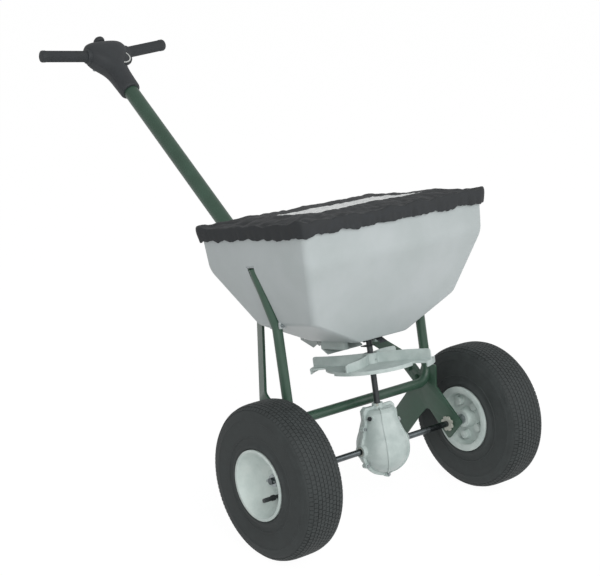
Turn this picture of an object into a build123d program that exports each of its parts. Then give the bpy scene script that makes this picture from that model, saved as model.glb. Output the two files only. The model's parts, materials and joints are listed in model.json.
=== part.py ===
"""Walk-behind broadcast spreader: hopper, gate, spinner, gearbox, two wheels and a T handle.

Two frames are used. The machine frame has its origin in the middle of the axle, X along the
axle, Y to the back and Z along the spinner shaft. The handle frame lies in the sloping plane of
the handle: X along the axle, Y up along the pole and Z out of the plane. The finished parts
stand on the ground at Z = 0, leaning back on the stand, with the origin under the middle of the
length over all.
"""
import os
from math import cos, radians, sin, sqrt

from build123d import *

# stance and wheels
LEAN = 12.5                 # backward lean of the machine at rest, degrees
MIDDLE = 470.0              # from the axle back to the middle of the length over all
WHEEL_R = 165.0
WHEEL_X = 294.0             # wheel centre from the middle
TYRE_HALF = 48.0
RIM_HALF = 52.5
FLANGE_R = 74.7
BEAD_R = 68.0
HUB_R = 19.0
HUB_OUT = 10.0              # hub end, measured outwards from the wheel centre
HUB_IN = 50.0               # hub end, measured inwards
AXLE_R = 7.0
AXLE_HALF = 313.0
FIT = 0.05                  # running clearance on a radius

# hopper, half width / front / back at four heights
RIM_Z, KINK_Z, KNEE_Z, FLOOR_Z = 515.0, 429.0, 303.0, 241.0
HOPPER = {
    RIM_Z: (251.0, -143.0, 212.0, 13.0),
    KINK_Z: (249.0, -137.0, 204.0, 12.0),
    KNEE_Z: (203.0, -75.0, 119.0, 11.0),
    FLOOR_Z: (73.0, -49.0, 115.0, 9.0),
}
WALL = 4.0
EAR_T = 7.0
PORTS = ((0.0, 67.0, 9.0), (-27.0, 62.0, 8.0), (27.0, 62.0, 8.0))   # x, y, radius

# cover
COVER_GAP = 0.5
COVER_T = 3.0
LIP, LIP_T = 5.0, 9.0
HEM_Z = 487.0
WINDOW = (150.0, -70.0, 95.0)   # half length, front edge, back edge

# frame
TUBE_R = 11.0
TUBE_WALL = 2.0
UPRIGHT_X = 202.0
FRAME_Y = 50.0
CROSS_Z = 95.0
BEND_R = 34.0               # bends at both ends of the cross tube
JOINT_Z = 135.0             # the uprights stand on the cross tube's ends here
GROOVE_R = 13.5             # groove in the hopper's side that the upright lies in
PLATE_T = 5.0
BUSH_R = 11.0
STRAP_T, STRAP_W = 6.0, 30.0
LEG_START, LEG_DIR, LEG_W = (92.0, 12.0), (0.745, -0.667), 62.0   # (y, z) lower edge of the leg
SOLE_T = 8.0

# handle
POLE_TILT = 43.2            # pole from the machine's Z, degrees
POLE_R = 19.0
POLE_R_IN = 17.0
POLE_START, POLE_END = 345.0, 1105.0
ARM_BOLTS = ((POLE_START + 42, 9.5), (POLE_START + 84, -9.5))   # clear of the control rod
STRAP_TAB = 46.0
ARM_BEND = 61.0             # where the straps turn inwards, up along the handle
GRIP_U, GRIP_V = 1153.0, 6.0    # where the axes of the grips meet
GRIP_SWEEP = 7.4            # each grip rises towards its outer end, degrees
GRIP_IN, GRIP_OUT = 62.0, 185.0
GRIP_R = 14.7
GRIP_RIBS = 12
CORE_R = 11.0
DIAL = (20.0, 1126.0, 24.0)  # centre of the rate dial
DIAL_R = 28.0

# wheel details
VALVE_AT, VALVE_R = -69.0, 33.0
BOSS_TURN = 66.5            # first boss on the inner face of the rim, degrees
PIN_X = 309.2

# drive
SHAFT_R = 6.5
GEAR_PIN_X = 27.0
FACE = 12.0
SPINNER_Z = 178.0
SPINNER_R = 137.0
FIN_H = 22.0
SCALLOP, SCALLOP_ARC = 20.0, 60.0   # shift of the scallop's circle, degrees that it spans
MODULE = 7.0 / 3.0
PINION_TEETH, GEAR_TEETH = 12, 36
GATE_TRAVEL = 20.5
PIN_Y = 211.0               # the control rod's pin behind the hopper
KNOB_V = 12.0
AGITATOR_Z = 264.0
HEAD_Z = 83.0               # top of the gearbox head
PLUG_AT, PLUG_Z = -158.0, 68.0
GEARBOX_LUGS = ((0, -65.5), (-55, -33.5), (55, -33.5), (-49.5, 46), (49.5, 46))
# handle body along the pole: place, half width, half thickness, rise of the centre, corner
HOUSING = ((1024, 25.5, 25.5, 0, 23), (1084, 27, 27, 0, 24), (1108, 31, 29, 1, 24), (1124, 40, 31, 2, 25),
           (1142, 55, 33, 2, 26), (1165, 60, 33, 3, 26), (1186, 56, 27, 4, 21), (1197, 46, 17, 3, 14))
SCREW_SPOTS = ((-40, 1138), (40, 1138), (-32, 1181), (32, 1181))
HEAD_V = -20.0              # under the heads of the handle body's screws

HANDLE = Plane(origin=(0, 85, 100), x_dir=(1, 0, 0),
               z_dir=(0, -cos(radians(POLE_TILT)), sin(radians(POLE_TILT))))
GROUND = Pos(0, -MIDDLE, WHEEL_R) * Rot(X=-LEAN)


def save(name, shape):
    """Stand the part on the ground and write it."""
    solids = (GROUND * shape).solids()
    export_step(Compound(children=list(solids)) if len(solids) > 1 else solids[0], f"parts/{name}.step")


def rod(radius, start, end, axis="X"):
    """A cylinder along one axis of the frame it is built in."""
    turn = {"X": Rot(Y=90), "Y": Rot(X=-90), "Z": Rot(X=0)}[axis]
    move = {"X": Pos(start, 0, 0), "Y": Pos(0, start, 0), "Z": Pos(0, 0, start)}[axis]
    return move * turn * Cylinder(radius, end - start, align=(Align.CENTER, Align.CENTER, Align.MIN))


def tube(outer, inner, start, end, axis="X"):
    return rod(outer, start, end, axis) - rod(inner, start - 1, end + 1, axis)


# ---------------------------------------------------------------- hopper

def hopper_section(height, inset=0.0, lower=0.0):
    half, front, back, corner = HOPPER[height]
    plan = RectangleRounded(2 * (half - inset), back - front - 2 * inset, corner - 0.6 * inset)
    return Pos(0, (front + back) / 2, height + lower) * plan


def hopper_body(inset=0.0, lower=0.0):
    levels = sorted(HOPPER)
    body = Part()
    for low, high in zip(levels, levels[1:]):
        lift = lower if low == FLOOR_Z else 0.0
        body += loft([hopper_section(low, inset, lift), hopper_section(high, inset)], ruled=True)
    return body


def upright_path(side):
    """Straight up beside the hopper floor, then out along its tapering side."""
    return FilletPolyline(
        (side * UPRIGHT_X, FRAME_Y, JOINT_Z), (side * UPRIGHT_X, FRAME_Y, KNEE_Z - 6),
        (side * (UPRIGHT_X + 39), FRAME_Y, KINK_Z + 3), radius=40)


def along_upright(side, radius):
    path = upright_path(side)
    return sweep(Plane(path @ 0, z_dir=path % 0) * Circle(radius), path)


def hopper_ears(side):
    """Two ears at the knee, one on each side of the groove, for the bolt through the upright."""
    ears = Part()
    for end in (-1, 1):
        middle = FRAME_Y + end * (GROOVE_R - 2 + EAR_T / 2)
        ears += Pos(side * (UPRIGHT_X - 2), middle, KNEE_Z) * Box(16, EAR_T, 15)
    return ears


def hopper():
    """Moulded hopper: four levels, a rolled rim, a groove in each side, ports and a shaft boss."""
    shell = hopper_body() + hopper_ears(-1) + hopper_ears(1)
    lip = extrude(hopper_section(RIM_Z, -LIP), -LIP_T)
    inside = hopper_body(WALL, WALL) + extrude(hopper_section(RIM_Z, WALL), 1)
    for side in (-1, 1):
        shell -= along_upright(side, GROOVE_R)
        inside -= along_upright(side, GROOVE_R + WALL)
    shell = shell + lip - inside + rod(18, FLOOR_Z, FLOOR_Z + 10, "Z")
    shell -= rod(12, FLOOR_Z - 10, FLOOR_Z + 20, "Z")
    for x, y, radius in PORTS:
        shell -= Pos(x, y, 0) * rod(radius, FLOOR_Z - 10, FLOOR_Z + 20, "Z")
    return shell - hopper_bolts()


def cover_section(height, grow):
    half, front, back, corner = HOPPER[RIM_Z]
    plan = RectangleRounded(2 * (half + grow), back - front + 2 * grow, corner + 0.6 * grow)
    return Pos(0, (front + back) / 2, height) * plan


def cover_cap(grow, top):
    """Solid cap over the rim: straight round the lip, drawn in below it."""
    lip_z = RIM_Z - LIP_T - 1
    skirt = loft([cover_section(HEM_Z, grow - 3), cover_section(lip_z, grow)], ruled=True)
    return skirt + extrude(cover_section(lip_z, grow), top - lip_z)


def hopper_cover():
    """Elasticated cover with a skirt drawn in below the lip and an opening for its window."""
    inner = LIP + COVER_GAP
    top = RIM_Z + COVER_GAP
    cap = cover_cap(inner + COVER_T, top + COVER_T) - cover_cap(inner, top)
    half, front, back = WINDOW
    pane = Pos(0, (front + back) / 2, top - 1) * extrude(Rectangle(2 * half, back - front), COVER_T + 2)
    return cap - Pos(0, 0, HEM_Z - 1) * extrude(cover_section(0, inner - 3), 2) - pane


def cover_window():
    """Clear pane let into the cover, with its edge tucked under the cloth."""
    half, front, back = WINDOW
    pane = extrude(Rectangle(2 * half, back - front), 1.2)
    return Pos(0, (front + back) / 2, RIM_Z + COVER_GAP + 1) * pane


# ---------------------------------------------------------------- frame

def to_ground(start, height):
    """Follow the stand leg from a point (y, z) down to a height above the ground."""
    lean = radians(LEAN)
    drop = WHEEL_R - height + start[1] * cos(lean) - start[0] * sin(lean)
    reach = drop / (LEG_DIR[0] * sin(lean) - LEG_DIR[1] * cos(lean))
    return (start[0] + LEG_DIR[0] * reach, start[1] + LEG_DIR[1] * reach)


def leg_edge(shift):
    """A point on the leg, moved sideways from its lower edge."""
    return (LEG_START[0] - LEG_DIR[1] * shift, LEG_START[1] + LEG_DIR[0] * shift)


def on_handle(u, v):
    """A point of the handle's middle plane as (y, z) of the machine."""
    point = HANDLE.from_local_coords(Vector(0, u, v))
    return (point.Y, point.Z)


def side_plate(side):
    """Flat plate: the axle in front, a stand leg behind, tabs for the upright and the strap."""
    low, high, half = leg_edge(0), leg_edge(LEG_W), STRAP_W / 2
    outline = Polyline(
        (-44, 4), (4, -36), (56, 30), (68, 30), low, to_ground(low, SOLE_T), to_ground(high, SOLE_T),
        high, on_handle(2, -half), on_handle(STRAP_TAB, -half), on_handle(STRAP_TAB, half),
        on_handle(2, half), (62, JOINT_Z - 1), (18, JOINT_Z - 1), (26, 84), close=True)
    face = fillet(make_face(outline).vertices(), 5)
    plate = Plane.YZ * extrude(face, PLATE_T / 2, both=True)
    plate = Pos(side * UPRIGHT_X, 0, 0) * (plate - rod(BUSH_R, -PLATE_T, PLATE_T))
    return plate - plate_bolts()


def stand_foot(side):
    """Moulded shoe pushed over the end of the stand leg."""
    low, high = leg_edge(-4), leg_edge(LEG_W + 4)
    outline = Polyline(to_ground(low, 0), to_ground(high, 0), to_ground(high, 32), to_ground(low, 32),
                       close=True)
    shoe = Plane.YZ * extrude(make_face(outline), PLATE_T / 2 + 4, both=True)
    return Pos(side * UPRIGHT_X, 0, 0) * shoe - side_plate(side)


def upright(side):
    path = upright_path(side)
    start = Plane(path @ 0, z_dir=path % 0)
    wall = sweep(start * (Circle(TUBE_R) - Circle(TUBE_R - TUBE_WALL)), path)
    return wall - hopper_bolts()


def cross_tube():
    """Lowest tube of the frame, bent up at both ends and slotted over the side plates."""
    path = FilletPolyline((-UPRIGHT_X, FRAME_Y, JOINT_Z), (-UPRIGHT_X, FRAME_Y, CROSS_Z),
                          (UPRIGHT_X, FRAME_Y, CROSS_Z), (UPRIGHT_X, FRAME_Y, JOINT_Z), radius=BEND_R)
    ring = Circle(TUBE_R) - Circle(TUBE_R - TUBE_WALL)
    wall = sweep(Plane(path @ 0, z_dir=path % 0) * ring, path)
    return wall - side_plate(-1) - side_plate(1)


def arm(side):
    """Flat strap from the side plate up to the pole, bent in towards the middle."""
    root = UPRIGHT_X + PLATE_T / 2 + STRAP_T / 2
    end = POLE_R + STRAP_T / 2
    path = FilletPolyline((side * root, -16), (side * root, ARM_BEND), (side * end, POLE_START + 18),
                          (side * end, POLE_START + 104), radius=25)
    section = Plane(path @ 0, x_dir=(0, 0, 1), z_dir=path % 0) * Rectangle(STRAP_W, STRAP_T)
    return HANDLE * sweep(section, path) - arm_bolts() - plate_bolts()


def across(size, half, u, v):
    """A bolt through the handle along X, with a hex head on one end and a nut on the other."""
    shank = rod(size / 2, -half - 4, half + 1)
    head = Pos(half, 0, 0) * (Plane.YZ * extrude(RegularPolygon(0.95 * size, 6), 0.6 * size))
    nut = Pos(-half - 0.75 * size, 0, 0) * (Plane.YZ * extrude(RegularPolygon(0.95 * size, 6), 0.75 * size))
    return Pos(0, u, v) * (shank + head + nut)


def arm_bolts():
    half = POLE_R + STRAP_T
    return HANDLE * Compound(children=[across(8, half, u, v) for u, v in ARM_BOLTS])


def plate_bolts():
    """Two bolts at each side plate, through the strap."""
    bolts = []
    for side in (-1, 1):
        for u in (2, 32):
            bolt = rod(4, -1, STRAP_T + PLATE_T + 7) + Plane.YZ * extrude(RegularPolygon(7.6, 6), -5)
            bolt += Pos(STRAP_T + PLATE_T, 0, 0) * (Plane.YZ * extrude(RegularPolygon(7.6, 6), 6))
            head_x = UPRIGHT_X + PLATE_T / 2 + STRAP_T
            turned = bolt if side < 0 else mirror(bolt, Plane.YZ)
            bolts.append(HANDLE * (Pos(side * head_x, u, 0) * turned))
    return Compound(children=bolts)


def hopper_bolts():
    """One bolt at each knee, front to back through the hopper's ears and the upright."""
    reach = GROOVE_R - 2 + EAR_T
    hexagon = RegularPolygon(5.2, 6)
    bolt = rod(3, -reach - 6, reach + 1, "Y") + Pos(0, -reach, 0) * (Plane.XZ * extrude(hexagon, 4))
    bolt += Pos(0, reach + 3, 0) * (Plane.XZ * extrude(hexagon, 3))
    return Compound(children=[Pos(side * UPRIGHT_X, FRAME_Y, KNEE_Z) * bolt for side in (-1, 1)])


def axle_bearing(side):
    """Moulded bush with a scalloped flange against the inner face of the side plate."""
    inner = -PLATE_T / 2
    flange = rod(17, inner - 5, inner)
    for scallop in PolarLocations(18.5, 8):
        flange -= Plane.YZ * (scallop * Cylinder(4.5, 40))
    bush = flange + rod(BUSH_R, inner, PLATE_T / 2 + 4) - rod(AXLE_R + FIT, -20, 20)
    turned = bush if side > 0 else mirror(bush, Plane.YZ)
    return Pos(side * UPRIGHT_X, 0, 0) * turned


# ---------------------------------------------------------------- wheels and axle

def wheel_place(side):
    """Wheels are drawn with their outer face towards +X."""
    return Pos(side * WHEEL_X, 0, 0) * (Rot(Z=0) if side > 0 else Rot(Z=180))


def rim(side):
    """One-piece moulded rim: dished outside, recessed inside, with a big hub and five bosses."""
    lip, web = RIM_HALF, -30
    outline = Polyline(
        (HUB_OUT, AXLE_R + FIT), (HUB_OUT, HUB_R), (HUB_OUT - 3, HUB_R + 4), (22, 46), (lip - 12, 63),
        (lip, 69), (lip, FLANGE_R), (lip - 6, FLANGE_R), (lip - 6, BEAD_R), (-lip + 6, BEAD_R),
        (-lip + 6, FLANGE_R), (-lip, FLANGE_R), (-lip, 60), (web, 56), (web, HUB_R + 5),
        (-HUB_IN, HUB_R), (-HUB_IN, AXLE_R + FIT), close=True)
    body = revolve(make_face(outline), Axis.X)
    for boss in PolarLocations(41, 5, BOSS_TURN):
        body += Plane.YZ * (boss * Pos(0, 0, web) * Cone(9, 11, 12, align=(Align.CENTER, Align.CENTER, Align.MAX)))
    body -= Rot(X=VALVE_AT) * Pos(0, VALVE_R, 0) * rod(4, 0, 60)
    return wheel_place(side) * body


def tyre_section():
    """Half of the tyre's section, from the middle of the tread to the bead."""
    half, ridge = TYRE_HALF, RIM_HALF - 1.5
    bead = RIM_HALF - 6
    outer = Polyline((bead, BEAD_R), (bead, FLANGE_R + 0.4), (ridge, FLANGE_R + 1.5), (ridge, FLANGE_R + 7),
                     (half - 2, FLANGE_R + 15))
    outer += ThreePointArc((half - 2, FLANGE_R + 15), (half, 118), (half - 3, 146))
    outer += ThreePointArc((half - 3, 146), (half - 7.5, 157), (half - 17, 162.5))
    outer += Polyline((half - 17, 162.5), (half / 3, WHEEL_R), (0, WHEEL_R))
    inner = Polyline((0, WHEEL_R), (0, WHEEL_R - 14), (half - 18, WHEEL_R - 18), (half - 9, 118),
                     (bead - 10, BEAD_R), (bead, BEAD_R))
    return make_face(outer + inner)


def tyre(side):
    """Turf tyre: hollow, with a ridge round the bead and a rounded crown."""
    section = tyre_section()
    return wheel_place(side) * revolve(section + mirror(section, Plane.YZ), Axis.X)


def valve(side):
    """Rubber valve stem with its cap, standing in the dish of the rim."""
    stem = rod(3.9, 10, 24) + rod(6, 22, 29) + rod(4.6, 29, 50)
    return wheel_place(side) * (Rot(X=VALVE_AT) * Pos(0, VALVE_R, 0) * stem)


def axle():
    """Round steel axle, cross-drilled for the drive pin, the gear pin and the free wheel's pin."""
    bar = rod(AXLE_R, -AXLE_HALF, AXLE_HALF)
    for x in (-PIN_X, PIN_X, GEAR_PIN_X):
        bar -= Pos(x, 0, 0) * rod(2, -20, 20, "Y")
    return bar


def axle_spacers():
    """Sleeves between the side plates and the wheel hubs."""
    inner, outer = UPRIGHT_X + PLATE_T / 2 + 4.3, WHEEL_X - HUB_IN
    return Compound(children=[tube(11, AXLE_R, side * inner if side > 0 else -outer + 0.3,
                                   outer - 0.3 if side > 0 else -inner) for side in (-1, 1)])


def end_washers():
    start = WHEEL_X + HUB_OUT
    return Compound(children=[tube(13, AXLE_R, start + 0.2, start + 1.8),
                              tube(13, AXLE_R, -start - 1.6, -start)])


def end_pins():
    """Cotter pins through the axle outside the washers."""
    pin = rod(1.9, -12, 12, "Y") + Pos(0, 13, 0) * rod(3, -1.5, 1.5)
    return Compound(children=[Pos(side * PIN_X, 0, 0) * pin for side in (-1, 1)])


# ---------------------------------------------------------------- gears and gearbox

def bevel(teeth, mate, bore, back):
    """Straight bevel gear about Z, its cone point at the origin and its back face up.

    Each tooth is a wedge that shrinks towards the cone point.
    """
    pitch_r, pitch_z = MODULE * teeth / 2, MODULE * mate / 2
    cone = sqrt(pitch_r ** 2 + pitch_z ** 2)
    small = 1 - FACE / cone

    def above(modules):
        """Radius and height of a point that far above the pitch cone at the large end."""
        return (pitch_r + modules * MODULE * pitch_z / cone, pitch_z - modules * MODULE * pitch_r / cone)

    root_r, root_z = above(-1.25)
    tip_r, tip_z = above(0.8)
    low_r, low_z = above(-1.65)
    large = Pos(0, 0, root_z) * RegularPolygon(root_r, teeth)
    blank = loft([Pos(0, 0, root_z * small) * RegularPolygon(root_r * small, teeth), large], ruled=True)
    blank += extrude(large, 3) + rod(bore + 7, root_z, root_z + back, "Z")
    blank -= rod(bore, 0, root_z + back + 1, "Z")

    def outline(size):
        tip, low = 0.26 * MODULE * size, 1.04 * MODULE * size
        return make_face(Polyline(
            (low_r * size, -low, low_z * size), (tip_r * size, -tip, tip_z * size),
            (tip_r * size, tip, tip_z * size), (low_r * size, low, low_z * size), close=True))

    tooth = loft([outline(1), outline(small)], ruled=True)
    return blank + [Rot(Z=360 * n / teeth) * tooth for n in range(teeth)]


def bevel_gear():
    """Large gear on the axle, turned half a tooth so that a gap faces the pinion."""
    gear = Rot(Y=90) * Rot(Z=180 / GEAR_TEETH) * bevel(GEAR_TEETH, PINION_TEETH, AXLE_R, 10)
    gear += tube(15, AXLE_R, 20, 31)
    for hole in PolarLocations(27, 6, 30):
        gear -= Rot(Y=90) * hole * Pos(0, 0, 20) * Box(9, 9, 40)
    return gear - Pos(GEAR_PIN_X, 0, 0) * rod(2, -20, 20, "Y")


def gear_pin():
    return Pos(GEAR_PIN_X, 0, 0) * rod(2, -15, 15, "Y")


def bevel_pinion():
    """Small gear on the spinner shaft, with a hub above its teeth."""
    pinion = bevel(PINION_TEETH, GEAR_TEETH, SHAFT_R, 6) + tube(11, SHAFT_R, 48, 60, "Z")
    return pinion - Pos(0, 0, 55) * rod(1.5, -20, 20)


def pinion_pin():
    return Pos(0, 0, 55) * rod(1.5, -11, 11)


def pear(grow):
    """Half outline of the gearbox in the XZ plane, grown outwards: round belly, narrow head."""
    belly, centre, neck, head = 58 + grow, -2, 39 + grow, HEAD_Z + grow
    edge = (belly * cos(radians(30)), centre + belly * sin(radians(30)))
    side = Polyline(edge, (neck, 58), (neck, head - 8), (neck - 7, head), (0, head))
    arc = ThreePointArc((0, centre - belly), (belly * cos(radians(30)), centre - belly * sin(radians(30))), edge)
    return make_face(Plane.XZ * (arc + side + Line((0, head), (0, centre - belly))))


def gearbox_room():
    """Room inside: round the large gear, along the axle and up round the pinion."""
    room = rod(47, -24, 28) + rod(17, -49, 49) + rod(18, 20, HEAD_Z - 8, "Z")
    return room + rod(10.5, -70, 70) + rod(9.5, 60, 120, "Z")


def gearbox_whole():
    """Pear-shaped casing with ribs, a flange round the joint, axle bosses and a collared top."""
    casing = revolve(pear(0), Axis.Z)
    face = pear(6)
    flange = extrude(face + mirror(face, Plane.YZ), 3, both=True)
    rib = extrude(pear(2.5), 1.5, both=True)
    casing += flange + [Rot(Z=turn) * rib for turn in (-121, -59, 59, 121)]
    casing += tube(14, 1, -66, 66)
    crown = rod(12.5, HEAD_Z - 1, HEAD_Z + 11, "Z")
    for notch in PolarLocations(12.5, 4, 45):
        crown -= notch * Pos(0, 0, HEAD_Z + 9) * Box(10, 6, 8)
    casing += crown
    for x, z in GEARBOX_LUGS:
        casing += Pos(x, 0, z) * rod(5.5, -6, 6, "Y")
    casing += Rot(Z=PLUG_AT) * Pos(0, 0, PLUG_Z) * rod(8, 30, 43)
    casing -= gearbox_room()
    for x, z in GEARBOX_LUGS:
        casing -= Pos(x, 0, z) * rod(2, -10, 10, "Y")
    return casing - Rot(Z=PLUG_AT) * Pos(0, 0, PLUG_Z) * rod(4, 30, 50)


def gearbox_half(front):
    block = Box(300, 100, 300, align=(Align.CENTER, Align.MAX if front else Align.MIN, Align.CENTER))
    return gearbox_whole() & block


def gearbox_screws():
    """Screws through the lugs of the joint, each with a hex head and a nut."""
    hexagon = RegularPolygon(3.8, 6)
    screw = rod(2, -8, 10, "Y") + Pos(0, -6, 0) * (Plane.XZ * extrude(hexagon, 3))
    screw += Pos(0, 6, 0) * (Plane.XZ * extrude(hexagon, -3))
    return Compound(children=[Pos(x, 0, z) * screw for x, z in GEARBOX_LUGS])


def gearbox_bushes():
    """Bushes for the axle, pressed into the bosses."""
    return tube(10.5, AXLE_R + FIT, 50, 65) + tube(10.5, AXLE_R + FIT, -65, -50)


def gearbox_shaft_bush():
    """Bush for the spinner shaft, pressed into the collar."""
    return tube(9.5, SHAFT_R + FIT, HEAD_Z - 8, HEAD_Z + 10, "Z")


def grease_plug():
    plug = rod(4, 34, 44) + Pos(43, 0, 0) * (Plane.YZ * extrude(RegularPolygon(5.2, 6), 3))
    return Rot(Z=PLUG_AT) * Pos(0, 0, PLUG_Z) * plug


# ---------------------------------------------------------------- spinner

def drive_shaft():
    shaft = rod(SHAFT_R, 26, 278, "Z")
    shaft -= Pos(0, 0, 55) * rod(1.5, -20, 20) + Pos(0, 0, AGITATOR_Z) * rod(2.5, -20, 20)
    return shaft - Pos(0, 0, SPINNER_Z + 12) * rod(2, -20, 20, "Y")


def vane():
    """One curved fin of the spinner with rounded outer corners, from the hub outwards."""
    path = ThreePointArc((12, 0), (70, 9), (SPINNER_R - 2, -2))
    blade = sweep(Plane(path @ 0, z_dir=path % 0, x_dir=(0, 0, 1)) * Rectangle(2 * FIN_H, 3), path)
    blade &= Box(400, 400, FIN_H, align=(Align.CENTER, Align.CENTER, Align.MIN))
    outer = blade.edges().filter_by(Axis.Y, 45).sort_by(Axis.X)[-2:].sort_by(Axis.Z)[-1]
    return fillet(outer, 6)


def impeller():
    """Broadcasting disc: four curved fins, a down-turned skirt and two scalloped stretches of edge."""
    half = radians(SCALLOP_ARC / 2)
    wedge = Pos(0, 0, -20) * extrude(make_face(Polyline(
        (0, 0), (200, 0), (240 * cos(half), 240 * sin(half)), (200 * cos(2 * half), 200 * sin(2 * half)),
        close=True)), 40)
    beyond = Pos(0, 0, -20) * extrude(
        Circle(SPINNER_R + 10) - Pos(SCALLOP, 0) * Circle(SPINNER_R - SCALLOP), 40)
    disc = rod(SPINNER_R, 0, 4, "Z")
    skirt = tube(SPINNER_R, SPINNER_R - 3, -8, 2, "Z")
    for turn in (130, 310):
        disc -= Rot(Z=turn) * (beyond & wedge)
        skirt -= Rot(Z=turn) * wedge
    fins = [Rot(Z=30 + 90 * n) * vane() for n in range(4)]
    disc += [skirt] + [Pos(0, 0, 3.9) * fin for fin in fins]
    disc += rod(15, -12, 26, "Z")
    disc -= rod(SHAFT_R, -20, 40, "Z") + Pos(0, 0, 12) * rod(2, -20, 20, "Y")
    return Pos(0, 0, SPINNER_Z) * disc


def impeller_pin():
    return Pos(0, 0, SPINNER_Z + 12) * rod(2, -15, 15, "Y")


def agitator():
    """Bent wire through the shaft that stirs the floor of the hopper."""
    path = FilletPolyline((-44, 0, AGITATOR_Z + 16), (-34, 0, AGITATOR_Z), (34, 0, AGITATOR_Z),
                          (44, 0, AGITATOR_Z + 16), radius=5)
    return sweep(Plane(path @ 0, z_dir=path % 0) * Circle(2.5), path)


def shaft_bush():
    """Bush in the floor of the hopper."""
    return tube(12, SHAFT_R + FIT, FLOOR_Z - 1, FLOOR_Z + 12, "Z") + tube(
        14, SHAFT_R + FIT, FLOOR_Z - 5, FLOOR_Z, "Z")


# ---------------------------------------------------------------- gate

def gate_slide():
    """Sheet slide with holes that meet the ports when it is drawn back, and a slotted tail."""
    top = FLOOR_Z - 0.5
    plate = Pos(0, 18, top - 2) * Box(76, 120, 2, align=(Align.CENTER, Align.MIN, Align.MIN))
    plate += Pos(0, 130, top - 2) * Box(20, 58, 2, align=(Align.CENTER, Align.MIN, Align.MIN))
    for x, y, radius in PORTS:
        plate -= Pos(x, y - GATE_TRAVEL, 0) * rod(radius, FLOOR_Z - 10, FLOOR_Z, "Z")
    ear = make_face(Polyline((166, top), (192, 268), (224, 268), (224, 228), (182, 211), (166, 220), close=True))
    slot = Pos(PIN_Y, 247.5) * SlotOverall(38, 7, 90)
    for side in (-1, 1):
        plate += Pos(9 * side, 0, 0) * (Plane.YZ * extrude(ear - slot, 1, both=True))
    return plate


def gate_guide():
    """Moulded rails under the hopper floor that carry the slide, with a skirt on each side."""
    rails = Part()
    for side in (-1, 1):
        wall = Pos(side * 44.5, 24, FLOOR_Z - 22) * Box(12, 76, 22, align=(Align.CENTER, Align.MIN, Align.MIN))
        lip = Pos(side * 36, 24, FLOOR_Z - 8) * Box(6, 76, 5, align=(Align.CENTER, Align.MIN, Align.MIN))
        rails += wall + lip
        rails -= Pos(side * 46, 26, FLOOR_Z - 23) * Box(7, 72, 16, align=(Align.CENTER, Align.MIN, Align.MIN))
    ramp = make_face(Polyline((100, FLOOR_Z - 9), (104, FLOOR_Z - 9), (104, FLOOR_Z - 22), (84, FLOOR_Z - 34),
                              (82, FLOOR_Z - 31), (100, FLOOR_Z - 20), close=True))
    return rails + Plane.YZ * extrude(ramp, 50, both=True)


# ---------------------------------------------------------------- handle

def handle_tube():
    pole = Pos(0, POLE_START, 0) * tube(POLE_R, POLE_R_IN, 0, POLE_END - POLE_START, "Y")
    for u, v in ARM_BOLTS:
        pole -= Pos(0, u, v) * rod(4, -30, 30)
    return HANDLE * pole


def rod_guide():
    """Plastic plug in the lower end of the pole that guides the control rod."""
    plug = rod(POLE_R_IN, POLE_START, POLE_START + 14, "Y") + rod(POLE_R, POLE_START - 4, POLE_START, "Y")
    return HANDLE * (plug - rod(4.1, POLE_START - 10, POLE_START + 20, "Y"))


def housing_body():
    """Body of the T handle: a sleeve that swells into a domed pod across the pole."""
    sections = []
    for u, half, thick, lift, corner in HOUSING:
        plane = Plane(origin=(0, u, lift), x_dir=(1, 0, 0), z_dir=(0, 1, 0))
        sections.append(plane * RectangleRounded(2 * half, 2 * thick, corner))
    return loft(sections, ruled=True)


def grip_axis(side, shape):
    """Put something drawn along +X on the axis of one grip."""
    turned = Pos(0, GRIP_U, GRIP_V) * Rot(Z=GRIP_SWEEP) * shape
    return turned if side > 0 else mirror(turned, Plane.YZ)


def housing_half(upper):
    """One shell of the handle body, moulded solid round the grip cores, the pole and the rod."""
    body = housing_body()
    for side in (-1, 1):
        body += grip_axis(side, rod(17.5, 30, GRIP_IN))
        body -= grip_axis(side, rod(CORE_R, 22, GRIP_IN + 10))
    body -= rod(POLE_R, 900, POLE_END, "Y") + Pos(0, 0, KNOB_V) * rod(7, 1150, 1250, "Y")
    body -= Pos(0, POLE_END, 6) * Box(14, 80, 26, align=(Align.CENTER, Align.MIN, Align.CENTER))
    x, u, v = DIAL
    body -= Pos(x, u, v) * (rod(DIAL_R + 1, -4, 4, "Z") + rod(3, -10, 6, "Z"))
    for spot in SCREW_SPOTS:
        body -= Pos(*spot, 0) * (rod(2, HEAD_V - 1, GRIP_V + 4, "Z") + rod(4.2, -60, HEAD_V, "Z"))
    block = Pos(0, 1100, GRIP_V) * Box(
        400, 400, 200, align=(Align.CENTER, Align.CENTER, Align.MIN if upper else Align.MAX))
    return HANDLE * (body & block)


def housing_screws():
    """Screws up through the lower shell."""
    screw = rod(2, HEAD_V - 1, GRIP_V + 4, "Z") + rod(4, HEAD_V - 3, HEAD_V, "Z")
    screws = [Pos(x, u, 0) * screw for x, u in SCREW_SPOTS]
    return HANDLE * Compound(children=screws)


def grip_core(side):
    """Steel tube inside the grip, held in the handle body."""
    return HANDLE * grip_axis(side, tube(CORE_R, CORE_R - TUBE_WALL, 22, GRIP_OUT - 6))


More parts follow.
